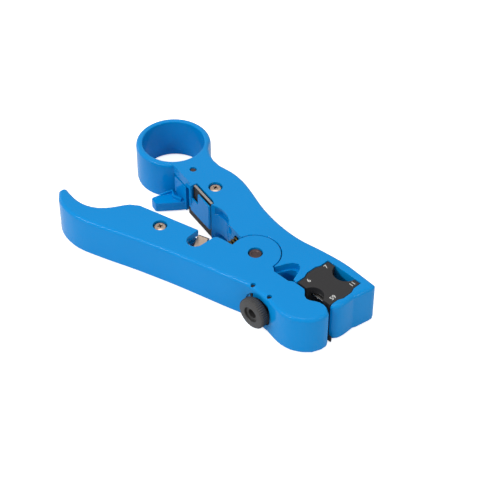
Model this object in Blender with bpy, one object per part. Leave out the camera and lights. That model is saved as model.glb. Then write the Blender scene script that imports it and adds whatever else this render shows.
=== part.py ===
"""Two-handled cable stripper with a finger ring, a sprung grip, a reversible stripping
cassette in the head, a round-cable eye with a screw-set blade, and a side cutter.

The tool lies flat on its side. +X runs from the pivot along the closed jaws to the end of
the head, +Y points to the ring arm, and +Z is up through its thickness. Every length below
is in millimetres and every angle in degrees; the meshes are written in metres.
"""

import math

import bmesh
import bpy
from mathutils import Matrix, Vector

MM = 0.001

# Fits between pieces.
SEAT_GAP = 0.3
PIN_FIT = 0.15
PAST = 1.5

# Resolution of round and curved stretches.
ARC_STEP = 9.0
CURVE_STEP = 2.6
SMALL_ROUND = 20

# The two mouldings.
THICKNESS = 16.2
OUTER_ROUND = 1.3
RING_CENTRE = (-64.5, 20.3)
RING_BORE_R = 11.5
RING_WALL = 2.5
RING_ROUND = 0.8
ARM_ANGLE = 168.3
GRIP_ANGLE = 194.5
GRIP_DROP = 0.63

# The pivot: two ears of the grip hold the round tongue of the body between them.
BOSS_R = 8.9
EAR_THICKNESS = 4.8
PIN_R = 1.9
PIN_HEAD_R = 2.35
PIN_HEAD_HEIGHT = 1.8
PIN_HEAD_DEPTH = 1.3
PIN_DIMPLE_R = 1.5
CLIP_THICKNESS = 0.8

# The return spring pushes the grip off the arm, beside the pivot.
SPRING_X = -11.6
SPRING_Z = 12.5
SPRING_R = 1.6
SPRING_WIRE_R = 0.38
SPRING_TURNS = 9
SPRING_TOP_Y = 6.0
SPRING_BOTTOM_Y = -7.2

# The head's pocket and its lift-out cassette.
CASSETTE_X = 27.75
CASSETTE_Y = 0.35
CASSETTE_WIDTH = 14.9
CASSETTE_DEPTH = 14.6
CASSETTE_BULGE = 0.8
CASSETTE_TOP = 15.3
LEDGE_HEIGHT = 1.2
LEDGE_WIDTH = 1.1
NEAR_NOTCH_R = 3.95
NEAR_NOTCH_DEPTH = 2.95
FAR_NOTCH_R = 4.55
FAR_NOTCH_DEPTH = 4.0
FOOT_FRONT_Y = -0.9
FOOT_END_X = 37.3
FOOT_LENGTH = 4.0
FOOT_BOTTOM = 0.4
FOOT_TOP = 2.6
STRIP_BLADE_THICKNESS = 0.5
STRIP_BLADE_LEVELS = (3.4, 8.0, 12.6)
STRIP_BLADE_BITES = (0.5, 0.8, 1.1)
STRIP_BLADE_WIDTH = 9.0

# The round-cable eye, its blade, and the screw that sets the blade's depth.
SCREW_X = 14.6
KNOB_R = 5.75
KNOB_FRONT_Y = -16.7
KNOB_BACK_Y = -12.5
KNOB_TEETH = 30
KNURL_DEPTH = 0.35
SOCKET_R = 2.9
SOCKET_DEPTH = 0.9
SOCKET_BORE_R = 1.75
SOCKET_BORE_DEPTH = 2.6
HUB_R = 4.0
HUB_END_Y = -9.4
NECK_R = 3.0
NECK_LENGTH = 1.9
KNOB_PIN_R = 0.75
SCREW_R = 1.5
SCREW_END_Y = -5.2
CARRIER_WIDTH = 6.0
CARRIER_HEIGHT = 7.0
CARRIER_BACK_Y = -8.2
CARRIER_FRONT_Y = -2.6
EYE_BLADE_THICKNESS = 0.6
EYE_BLADE_WIDTH = 4.6
EYE_BLADE_EDGE_Y = -1.0

# Screws and plates.
ARM_SCREW = (-34.7, 13.8)
GRIP_SCREW = (-33.3, -14.3)
SCREW_HEAD_R = 2.3
SCREW_HEAD_HEIGHT = 1.5
COUNTERBORE_DEPTH = 2.9
SHANK_R = 1.2
SHANK_LENGTH = 9.5
RECESS_WIDTH = 0.55
RECESS_DEPTH = 0.8
PLATE_THICKNESS = 0.9
PLATE_START = 29.7
PLATE_END = 41.6
PLATE_FOOT_END = 45.4
PLATE_FOOT_HEIGHT = 1.9
PLATE_BOTTOM = 0.05
PLATE_SLOT = 1.9
WEB_THICKNESS = 0.6
WEB_BOTTOM = 2.3
WEB_TOP = 13.6
POST_END = 43.4

# The side cutter.
CUTTER_THICKNESS = 1.0
CUTTER_Z = 12.3
NOTCH_CENTRE = (-18.9, -10.7)
NOTCH_R = 3.1
SEAT_R = 9.1
SEAT_CENTRE_S = 23.4
SEAT_DEPTH = 2.2

# The lock lever.
LEVER_PIVOT = (-47.4, 14.6)
LEVER_PIN_R = 0.95
LEVER_HOLE_R = 1.3
LEVER_TOP = 10.0
LEVER_BOTTOM = 0.6
TAB_TOP = 4.4
RIM_HEIGHT = 0.6
SLOT_TOP = 10.4
RELIEF_INNER_R = 45.2
RELIEF_OUTER_R = 57.8
RELIEF_ANGLE = 206.0
RELIEF_HEIGHT = 5.6

BLUE = (0.004, 0.235, 0.680, 1.0)
BLACK = (0.040, 0.040, 0.044, 1.0)
GREY = (0.110, 0.110, 0.115, 1.0)
STEEL = (0.560, 0.550, 0.540, 1.0)
DARK_STEEL = (0.120, 0.090, 0.085, 1.0)
GOLD = (0.650, 0.480, 0.180, 1.0)


def polar(angle, radius=1.0, centre=(0.0, 0.0)):
    turn = math.radians(angle)
    return (centre[0] + radius * math.cos(turn), centre[1] + radius * math.sin(turn))


def arc(centre, radius, start, end, step=ARC_STEP):
    """Points along an arc, both ends included."""
    count = max(2, math.ceil(abs(end - start) / step))
    return [polar(start + (end - start) * i / count, radius, centre) for i in range(count + 1)]


def circle(centre, radius, count=SMALL_ROUND):
    return [polar(360.0 * i / count, radius, centre) for i in range(count)]


def smooth(points, spacing=CURVE_STEP):
    """Points on a smooth curve through the given ones."""
    knots = [Vector(p) for p in points]
    knots = [2 * knots[0] - knots[1], *knots, 2 * knots[-1] - knots[-2]]
    curve = [tuple(knots[1])]
    for a, b, c, d in zip(knots, knots[1:], knots[2:], knots[3:]):
        count = max(1, round((c - b).length / spacing))
        for i in range(1, count + 1):
            t = i / count
            point = 0.5 * (
                2 * b + (c - a) * t + (2 * a - 5 * b + 4 * c - d) * t * t + (3 * b - a - 3 * c + d) * t**3
            )
            curve.append(tuple(point))
    return curve


def on_arm(along, behind=0.0):
    """A point that far from the pivot along the ring arm's inner edge, and behind that edge."""
    ux, uy = polar(ARM_ANGLE)
    return (ux * along + uy * behind, uy * along - ux * behind)


def on_grip(along, behind=0.0):
    """The same along the grip's inner edge, which passes just below the pivot."""
    ux, uy = polar(GRIP_ANGLE)
    back = behind + GRIP_DROP
    return (ux * along - uy * back, uy * along + ux * back)


def add_mesh(name, bm, material):
    bmesh.ops.recalc_face_normals(bm, faces=bm.faces)
    bmesh.ops.scale(bm, vec=(MM, MM, MM), verts=bm.verts)
    mesh = bpy.data.meshes.new(name)
    bm.to_mesh(mesh)
    bm.free()
    mesh.shade_smooth()
    mesh.set_sharp_from_angle(angle=math.radians(32.0))
    obj = bpy.data.objects.new(name, mesh)
    bpy.context.scene.collection.objects.link(obj)
    obj.parent = TOOL
    if material:
        mesh.materials.append(material)
    else:
        obj.hide_render = True
        obj.display_type = "WIRE"
    return obj


def prism(name, outline, low, high, material=None, rounded=(), radius=0.0, place=None):
    """An outline extruded from low to high; rims of the rounded stretches get a fillet."""
    bm = bmesh.new()
    points = [outline[0]]
    for point in outline[1:]:
        if math.dist(point, points[-1]) > 0.02:
            points.append(point)
    if math.dist(points[0], points[-1]) < 0.02:
        points.pop()
    base = [bm.verts.new((x, y, low)) for x, y in points]
    face = bm.faces.new(base)
    grown = bmesh.ops.extrude_face_region(bm, geom=[face])
    raised = [v for v in grown["geom"] if isinstance(v, bmesh.types.BMVert)]
    bmesh.ops.translate(bm, vec=(0.0, 0.0, high - low), verts=raised)
    if radius:
        soft = {(round(x, 4), round(y, 4)) for x, y in rounded}

        def is_soft(vertex):
            return (round(vertex.co.x, 4), round(vertex.co.y, 4)) in soft

        rims = [
            e
            for e in bm.edges
            if abs(e.verts[0].co.z - e.verts[1].co.z) < 1e-6 and is_soft(e.verts[0]) and is_soft(e.verts[1])
        ]
        bmesh.ops.bevel(bm, geom=rims, offset=radius, segments=3, profile=0.5, affect="EDGES")
    if place:
        bmesh.ops.transform(bm, matrix=place, verts=bm.verts)
    return add_mesh(name, bm, material)


def box(name, low, high, material=None):
    outline = [(low[0], low[1]), (high[0], low[1]), (high[0], high[1]), (low[0], high[1])]
    return prism(name, outline, low[2], high[2], material)


def cylinder(name, centre, radius, low, high, material=None, count=SMALL_ROUND):
    return prism(name, circle(centre, radius, count), low, high, material)


def along_y(x, z):
    """Places a piece turned about Z so that its height runs along +Y through x and z."""
    return Matrix.Translation((x, 0.0, z)) @ Matrix.Rotation(math.radians(-90.0), 4, "X")


def lathe(name, profile, material=None, count=SMALL_ROUND, place=None, ripple=None):
    """A turned piece: (radius, height) pairs from its lower face to its upper one."""
    bm = bmesh.new()
    rings = []
    for row, (radius, height) in enumerate(profile):
        ring = []
        for i in range(count):
            shrink = ripple(row, i) if ripple else 0.0
            x, y = polar(360.0 * i / count, radius - shrink)
            ring.append(bm.verts.new((x, y, height)))
        rings.append(ring)
    for lower, upper in zip(rings, rings[1:]):
        for i in range(count):
            j = (i + 1) % count
            bm.faces.new((lower[i], lower[j], upper[j], upper[i]))
    bm.faces.new(rings[0])
    bm.faces.new(rings[-1])
    if place:
        bmesh.ops.transform(bm, matrix=place, verts=bm.verts)
    return add_mesh(name, bm, material)


def combine(target, operation, tools):
    for tool in tools:
        modifier = target.modifiers.new(f"{operation.lower()} {tool.name}", "BOOLEAN")
        modifier.operation = operation
        modifier.solver = "EXACT"
        modifier.object = tool


def cut(target, *tools):
    combine(target, "DIFFERENCE", tools)


def join(target, *tools):
    combine(target, "UNION", tools)


def make_material(name, colour, roughness, metallic=0.0):
    material = bpy.data.materials.new(name)
    material.use_nodes = True
    shader = material.node_tree.nodes["Principled BSDF"]
    shader.inputs["Base Color"].default_value = colour
    shader.inputs["Roughness"].default_value = roughness
    shader.inputs["Metallic"].default_value = metallic
    material.diffuse_color = colour
    return material


def cassette_outline(grow=0.0):
    """The cassette's plan: a square block whose two sides swell to a shallow round."""
    half = CASSETTE_WIDTH / 2 + grow
    low = CASSETTE_Y - grow
    high = CASSETTE_Y + CASSETTE_DEPTH + grow
    mid = (low + high) / 2
    swell = half + CASSETTE_BULGE
    lead = CASSETTE_DEPTH * 0.27
    right = [(half, low), (half, mid - lead), (swell, mid - lead / 2), (swell, mid + lead / 2)]
    right += [(half, mid + lead), (half, high)]
    left = [(-x, y) for x, y in reversed(right)]
    return [(CASSETTE_X + x, y) for x, y in right + left]


def body_outline():
    """The ring, the arm, the pivot tongue and the head in one closed run."""
    ring_r = RING_BORE_R + RING_WALL
    ring = arc(RING_CENTRE, ring_r, 49.0, 318.6)
    inner = [on_arm(BOSS_R)]
    tongue = arc((0.0, 0.0), BOSS_R, ARM_ANGLE, 360.0)
    nose = smooth(
        [(35.0, 0.0), (36.7, 0.5), (37.8, 2.0), (38.3, 4.9), (38.2, 8.3), (38.2, 9.2), (38.7, 10.4)]
        + [(39.1, 12.6), (39.7, 16.0), (39.8, 17.2), (39.2, 18.2)],
        1.6,
    )
    outer = smooth(
        [(39.2, 18.2), (34.2, 18.5), (24.7, 18.9), (15.0, 17.9), (5.2, 16.4), (-4.6, 16.7), (-14.5, 18.6)]
        + [(-24.5, 22.0), (-30.5, 23.7), (-36.7, 24.3), (-42.8, 23.6), (-46.5, 24.1), (-50.5, 25.9)]
        + [(-54.0, 28.6), ring[0]]
    )
    return ring + inner + tongue + nose + outer, ring + nose + outer


def grip_outline():
    """The grip, the lower ear and the short jaw in one closed run."""
    ear = arc((0.0, 0.0), BOSS_R, -4.0, 199.0)
    throat = smooth([(-9.4, -3.1), (-12.8, -3.5), (-14.8, -4.1), (-16.0, -5.3)], 1.5)
    inner = [on_grip(22.5), on_grip(47.8)]
    hollow = smooth(
        [on_grip(48.6), (-49.6, -14.1), (-51.1, -16.4), (-53.0, -19.9), (-56.1, -23.5), (-60.1, -25.6)]
        + [(-64.2, -26.3), (-68.4, -25.9), (-71.6, -25.3), (-72.7, -26.3), (-72.5, -28.2)]
    )
    outer = smooth(
        [(-72.5, -28.2), (-69.6, -30.7), (-65.3, -32.4), (-60.1, -32.9), (-54.9, -32.2), (-44.8, -28.9)]
        + [(-34.8, -25.3), (-19.9, -20.6), (-10.0, -17.9), (-0.2, -15.3), (4.6, -13.9), (8.5, -12.9)]
        + [(13.0, -12.6), (18.9, -12.9), (22.7, -13.7), (26.9, -14.1), (30.9, -13.3), (33.9, -11.6)]
        + [(36.5, -9.0), (37.8, -5.7), (37.9, -3.4), (37.3, -2.4), (36.4, -2.0)]
    )
    mouth = smooth(
        [(36.4, -2.0), (34.0, -1.3), (32.1, -1.5), (30.6, -2.2), (29.2, -3.1), (27.8, -3.4), (26.4, -2.8)]
        + [(25.0, -1.3), (24.1, -0.6)],
        1.5,
    )
    jaw = [(19.8, -0.6), (18.8, -0.8), (17.6, -1.7), (11.0, -1.9), (9.8, -0.8)]
    return ear + throat + inner + hollow + outer + mouth + jaw, hollow + outer


def eye_outline(inset=0.0):
    """The arched half of the round-cable eye, in the head."""
    arch = smooth(
        [(9.4, -0.6), (10.5, 1.7), (11.3, 3.8), (12.6, 5.8), (14.2, 6.7), (15.8, 6.0), (17.0, 4.1), (17.8, 1.8)]
        + [(18.7, -0.6)],
        1.8,
    )
    middle = (14.3, 1.0)
    shrink = 1.0 - inset / 5.0
    drawn = [(middle[0] + (x - middle[0]) * shrink, middle[1] + (y - middle[1]) * shrink) for x, y in arch]
    return drawn + [(drawn[-1][0], -PAST), (drawn[0][0], -PAST)]


def cutter_outline(grow=0.0):
    """The cutter's plan: a tail round its screw, a neck, and a straight edge proud of the grip."""
    tail = arc(GRIP_SCREW, 3.3 + grow, 300.0, 80.0)
    edge = [on_grip(23.6 + grow, -1.7), on_grip(19.5 - grow, -1.9)]
    return tail + [on_grip(26.8 + grow, 1.6 - grow)] + edge + [(-16.2 + grow, -9.0), (-18.3, -13.6 - grow)]


def lever_outline():
    """The lever's hub round its pin and its flank down to the arm's inner edge."""
    hub = arc(LEVER_PIVOT, 2.9, 150.0, -20.0, 17.0)
    return hub + [(-45.6, 9.5), on_arm(46.5, -0.3), (-53.2, 10.4), (-51.9, 12.8)]


def tab_outline():
    return [(-46.1, 9.4), (-47.2, 7.7), (-52.7, 0.9), (-53.4, 0.7), (-56.0, 1.4), (-56.3, 2.2)] + [
        (-55.6, 5.0),
        (-53.3, 10.4),
        (-50.0, 11.2),
    ]


def strip_between(points, width):
    """The plan of a narrow strip that follows a bent line."""
    left, right = [], []
    for i, point in enumerate(points):
        before = Vector(points[max(0, i - 1)])
        after = Vector(points[min(len(points) - 1, i + 1)])
        way = (after - before).normalized()
        side = Vector((-way.y, way.x)) * width / 2
        left.append(tuple(Vector(point) + side))
        right.append(tuple(Vector(point) - side))
    return left + right[::-1]


def make_body(material):
    """The ring arm and head: one thick moulding, cut for everything that it carries."""
    outline, rounded = body_outline()
    body = prism("main_body", outline, 0.0, THICKNESS, material, rounded, OUTER_ROUND)
    over = THICKNESS + PAST
    low_ear = EAR_THICKNESS + SEAT_GAP
    high_ear = THICKNESS - EAR_THICKNESS - SEAT_GAP
    recess_r = BOSS_R + SEAT_GAP

    web_low = on_arm(PLATE_START - 1.8, 0.6), on_arm(POST_END, 0.6)
    web_front = WEB_THICKNESS + 0.1
    web = [web_low[0], on_arm(PLATE_START - 1.8, 0.0), on_arm(PLATE_START - 0.4, -web_front)]
    web += [on_arm(POST_END - 0.8, -web_front), on_arm(POST_END, -0.2), web_low[1]]
    join(body, prism("web block", web, WEB_BOTTOM, WEB_TOP))
    post = [on_arm(PLATE_END + 0.4, 1.5), on_arm(PLATE_END + 0.4, -0.9), on_arm(POST_END - 0.1, -0.9)]
    post.append(on_arm(POST_END - 0.1, 1.5))
    join(body, prism("post block", post, 7.0, THICKNESS - 0.05))

    eased = RING_BORE_R + RING_ROUND
    corner = 0.3 * RING_ROUND
    bore = [(eased, -PAST), (eased, 0.0), (RING_BORE_R + corner, corner), (RING_BORE_R, RING_ROUND)]
    bore += [(radius, THICKNESS - height) for radius, height in reversed(bore)]
    cut(body, lathe("finger hole", bore, count=48, place=Matrix.Translation((*RING_CENTRE, 0.0))))

    cut(
        body,
        cylinder("ear recess top", (0.0, 0.0), recess_r, high_ear, over, count=48),
        cylinder("ear recess bottom", (0.0, 0.0), recess_r, -PAST, low_ear, count=48),
        cylinder("pivot bore", (0.0, 0.0), PIN_R + PIN_FIT, low_ear - PAST, high_ear + PAST),
    )
    spring_well = [(SPRING_R + SEAT_GAP, -2.0), (SPRING_R + SEAT_GAP, SPRING_TOP_Y + SEAT_GAP)]
    cut(body, lathe("spring well in arm", spring_well, place=along_y(SPRING_X, SPRING_Z)))

    seat_centre = on_arm(SEAT_CENTRE_S, SEAT_DEPTH - SEAT_R)
    cut(body, cylinder("cable seat", seat_centre, SEAT_R, -PAST, over, count=48))
    slit = [on_arm(15.5, -PAST), on_arm(15.5, 1.2), on_arm(19.0, 3.2), on_arm(26.5, 3.2), on_arm(28.0, 1.2)]
    slit.append(on_arm(28.0, -PAST))
    cut(
        body,
        prism("cutter slit", slit, CUTTER_Z - SEAT_GAP, CUTTER_Z + CUTTER_THICKNESS + SEAT_GAP),
        prism("lower slit", slit, 1.6, 3.5),
    )

    behind = PLATE_THICKNESS + SEAT_GAP + 0.1
    plate_slot = [on_arm(PLATE_START - 0.4, -0.1), on_arm(PLATE_START - 0.4, behind), on_arm(31.2, PLATE_SLOT)]
    plate_slot += [on_arm(PLATE_END + 0.4, PLATE_SLOT), on_arm(PLATE_END + 0.4, -0.1)]
    foot_slot = [on_arm(PLATE_END - 0.6, -PAST), on_arm(PLATE_END - 0.6, behind)]
    foot_slot += [on_arm(PLATE_FOOT_END + 0.4, behind), on_arm(PLATE_FOOT_END + 0.4, -PAST)]
    window = [on_arm(PLATE_END + 0.1, 0.5), on_arm(PLATE_END + 0.1, -PAST), on_arm(37.4, -PAST), on_arm(37.4, 0.5)]
    cut(
        body,
        prism("plate slot", plate_slot, -PAST, over),
        prism("plate foot slot", foot_slot, -PAST, PLATE_FOOT_HEIGHT + SEAT_GAP),
        prism("plate window", window, 9.4, WEB_TOP + PAST),
    )

    ring_r = RING_BORE_R + RING_WALL
    lever_slot = arc(RING_CENTRE, ring_r, -43.0, -9.0, 8.0)
    lever_slot += [(-49.6, 18.6), (-45.6, 18.6), (-44.0, 17.0), on_arm(44.6, 0.0), on_arm(44.6, -3.0)]
    lever_slot.append((-53.4, 8.0))
    cut(
        body,
        prism("lever slot", lever_slot, -PAST, SLOT_TOP),
        cylinder("lever pin hole", LEVER_PIVOT, LEVER_HOLE_R, SLOT_TOP - PAST, over),
    )

    half = CASSETTE_WIDTH / 2 - LEDGE_WIDTH
    back = CASSETTE_Y + CASSETTE_DEPTH - LEDGE_WIDTH
    through = [(CASSETTE_X - half, -PAST), (CASSETTE_X + half, -PAST), (CASSETTE_X + half, back)]
    through.append((CASSETTE_X - half, back))
    pocket = [(x, y if y > CASSETTE_Y else -PAST) for x, y in cassette_outline(SEAT_GAP)]
    cut(
        body,
        prism("cassette pocket", pocket, LEDGE_HEIGHT, over),
        prism("pocket floor", through, -PAST, LEDGE_HEIGHT + PAST),
        prism("eye", eye_outline(), THICKNESS - 2.7, over),
        prism("eye below", eye_outline(0.9), -PAST, THICKNESS - 2.0),
    )

    cut(
        body,
        cylinder("arm counterbore", ARM_SCREW, SCREW_HEAD_R + SEAT_GAP, THICKNESS - COUNTERBORE_DEPTH, over),
        cylinder("arm screw hole", ARM_SCREW, SHANK_R + PIN_FIT, THICKNESS - SHANK_LENGTH - 4.0, over),
    )
    return body


def make_grip(material):
    """The sprung grip with its jaw, the fork of two ears and the seats of what it carries."""
    outline, rounded = grip_outline()
    grip = prism("grip_arm", outline, 0.0, THICKNESS, material, rounded, OUTER_ROUND)
    over = THICKNESS + PAST
    head_bottom = THICKNESS - PIN_HEAD_DEPTH - PIN_HEAD_HEIGHT - PIN_FIT
    clip_top = 1.0 + CLIP_THICKNESS + PIN_FIT
    cut(
        grip,
        cylinder("fork", (0.0, 0.0), BOSS_R + SEAT_GAP, EAR_THICKNESS, THICKNESS - EAR_THICKNESS, count=48),
        cylinder("ear bore", (0.0, 0.0), PIN_R + PIN_FIT, -PAST, over),
        cylinder("pin head recess", (0.0, 0.0), PIN_HEAD_R + SEAT_GAP, head_bottom, over),
        cylinder("clip recess", (0.0, 0.0), PIN_HEAD_R + SEAT_GAP, -PAST, clip_top),
    )
    spring_well = [(SPRING_R + SEAT_GAP, SPRING_BOTTOM_Y - SEAT_GAP), (SPRING_R + SEAT_GAP, 1.0)]
    cut(grip, lathe("spring well in grip", spring_well, place=along_y(SPRING_X, SPRING_Z)))

    notch = arc(NOTCH_CENTRE, NOTCH_R, 180.0, 360.0, 15.0)
    notch += [(NOTCH_CENTRE[0] + NOTCH_R + 0.2, -3.0), (NOTCH_CENTRE[0] - NOTCH_R - 0.2, -3.0)]
    blade_seat = cutter_outline(SEAT_GAP)
    slot = [on_grip(36.8, 4.0), on_grip(36.8, -PAST), on_grip(18.0, -2.6), on_grip(18.0, 4.0)]
    level = CUTTER_Z - SEAT_GAP, CUTTER_Z + CUTTER_THICKNESS + SEAT_GAP
    cut(
        grip,
        prism("cable notch", notch, -PAST, over),
        prism("cutter seat", blade_seat, *level),
        prism("cutter entry", slot, *level),
        cylinder("grip counterbore", GRIP_SCREW, SCREW_HEAD_R + SEAT_GAP, level[1] - 0.1, over),
        cylinder("grip screw hole", GRIP_SCREW, SHANK_R + PIN_FIT, THICKNESS - SHANK_LENGTH - 4.0, level[1]),
    )

    middle = THICKNESS / 2
    scoop = [(KNOB_R + 0.5, KNOB_FRONT_Y - 4.0), (KNOB_R + 0.5, KNOB_BACK_Y + SEAT_GAP)]
    hub = [(HUB_R + SEAT_GAP, KNOB_BACK_Y - PAST), (HUB_R + SEAT_GAP, HUB_END_Y + SEAT_GAP)]
    screw = [(SCREW_R + SEAT_GAP, HUB_END_Y - PAST), (SCREW_R + SEAT_GAP, CARRIER_BACK_Y + PAST)]
    cut(
        grip,
        lathe("knob scoop", scoop, count=36, place=along_y(SCREW_X, middle)),
        lathe("hub bore", hub, count=28, place=along_y(SCREW_X, middle)),
        lathe("screw bore", screw, place=along_y(SCREW_X, middle)),
    )
    half_width = CARRIER_WIDTH / 2 + SEAT_GAP
    half_height = CARRIER_HEIGHT / 2 + SEAT_GAP
    low = (SCREW_X - half_width, CARRIER_BACK_Y - SEAT_GAP, middle - half_height)
    high = (SCREW_X + half_width, 0.0, middle + half_height)
    cut(grip, box("carrier slot", low, high))
    for side, name in ((-1, "left knob pin hole"), (1, "right knob pin hole")):
        cut(grip, cylinder(name, knob_pin_place(side), KNOB_PIN_R + PIN_FIT, 2.0, over, count=12))

    relief = arc((0.0, 0.0), RELIEF_INNER_R, 188.0, RELIEF_ANGLE, 3.0)
    relief += arc((0.0, 0.0), RELIEF_OUTER_R, RELIEF_ANGLE, 188.0, 3.0)
    cut(grip, prism("lock relief", relief, -PAST, RELIEF_HEIGHT))
    return grip


def knob_pin_place(side):
    """Each pin stands beside the neck of the knob's hub, and holds the knob in."""
    reach = NECK_R + KNOB_PIN_R + PIN_FIT
    return (SCREW_X + side * reach, KNOB_BACK_Y + NECK_LENGTH / 2)


def make_pivot(steel, dark):
    """A headed pin through both ears and the tongue, kept by a clip at its lower end."""
    head_top = THICKNESS - PIN_HEAD_DEPTH
    head_low = head_top - PIN_HEAD_HEIGHT
    lathe(
        "pivot_pin",
        [
            (PIN_R, 0.5),
            (PIN_R, head_low),
            (PIN_HEAD_R, head_low),
            (PIN_HEAD_R, head_top - 0.3),
            (PIN_HEAD_R - 0.3, head_top),
            (PIN_DIMPLE_R, head_top),
            (PIN_DIMPLE_R - 0.3, head_top - 0.4),
        ],
        dark,
        count=24,
    )
    clip = cylinder("pivot_clip", (0.0, 0.0), PIN_HEAD_R, 1.0, 1.0 + CLIP_THICKNESS, steel)
    cut(clip, cylinder("clip bore", (0.0, 0.0), PIN_R + PIN_FIT, 0.0, 3.0))


def make_spring(material):
    """A close-wound compression spring between the two wells, as one swept wire."""
    steps = 10
    count = SPRING_TURNS * steps
    low = SPRING_BOTTOM_Y + SPRING_WIRE_R
    high = SPRING_TOP_Y - SPRING_WIRE_R
    coil_r = SPRING_R - SPRING_WIRE_R
    curve = bpy.data.curves.new("return_spring", "CURVE")
    curve.dimensions = "3D"
    line = curve.splines.new("POLY")
    line.points.add(count)
    for i in range(count + 1):
        x, z = polar(360.0 * i / steps, coil_r, (SPRING_X, SPRING_Z))
        y = low + (high - low) * i / count
        line.points[i].co = (x * MM, y * MM, z * MM, 1.0)
    curve.bevel_depth = SPRING_WIRE_R * MM
    curve.bevel_resolution = 1
    curve.use_fill_caps = True
    curve.materials.append(material)
    spring = bpy.data.objects.new("return_spring", curve)
    bpy.context.scene.collection.objects.link(spring)
    spring.parent = TOOL
    return spring


def make_cassette(plastic, steel):
    """The reversible cassette: a wide notch on each side, and three blades across both."""
    outline = cassette_outline()
    cassette = prism("coax_cassette", outline, LEDGE_HEIGHT + SEAT_GAP, CASSETTE_TOP, plastic)
    near_y = CASSETTE_Y + NEAR_NOTCH_DEPTH
    far_y = CASSETTE_Y + CASSETTE_DEPTH - FAR_NOTCH_DEPTH
    foot_start = FOOT_END_X - FOOT_LENGTH
    neck_end = CASSETTE_X + CASSETTE_WIDTH / 2 - 0.1
    join(
        cassette,
        box("foot neck", (foot_start, -SEAT_GAP - 0.1, LEDGE_HEIGHT + SEAT_GAP), (neck_end, CASSETTE_Y + 1.0, FOOT_TOP)),
        box("cassette foot", (foot_start, FOOT_FRONT_Y, FOOT_BOTTOM), (FOOT_END_X, -SEAT_GAP, FOOT_TOP)),
    )
    cut(
        cassette,
        cylinder("near notch", (CASSETTE_X + 0.3, near_y - NEAR_NOTCH_R), NEAR_NOTCH_R, -PAST, THICKNESS + PAST, count=40),
        cylinder("far notch", (CASSETTE_X + 0.3, far_y + FAR_NOTCH_R), FAR_NOTCH_R, -PAST, THICKNESS + PAST, count=40),
    )
    names = ("outer_blade", "middle_blade", "inner_blade")
    for name, level, bite in zip(names, STRIP_BLADE_LEVELS, STRIP_BLADE_BITES):
        left = CASSETTE_X + 0.3 - STRIP_BLADE_WIDTH / 2
        right = CASSETTE_X + 0.3 + STRIP_BLADE_WIDTH / 2
        low, high = level - STRIP_BLADE_THICKNESS / 2, level + STRIP_BLADE_THICKNESS / 2
        near, far = near_y - bite, far_y + bite
        blade = [(left, near), (right, near), (right, far), (left, far)]
        prism(f"cassette_{name}", blade, low, high, steel)
        slit_high = (CASSETTE_X + CASSETTE_WIDTH, far + SEAT_GAP, high + SEAT_GAP)
        cut(cassette, box(f"{name} slit", (left - SEAT_GAP, near - SEAT_GAP, low - SEAT_GAP), slit_high))


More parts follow.
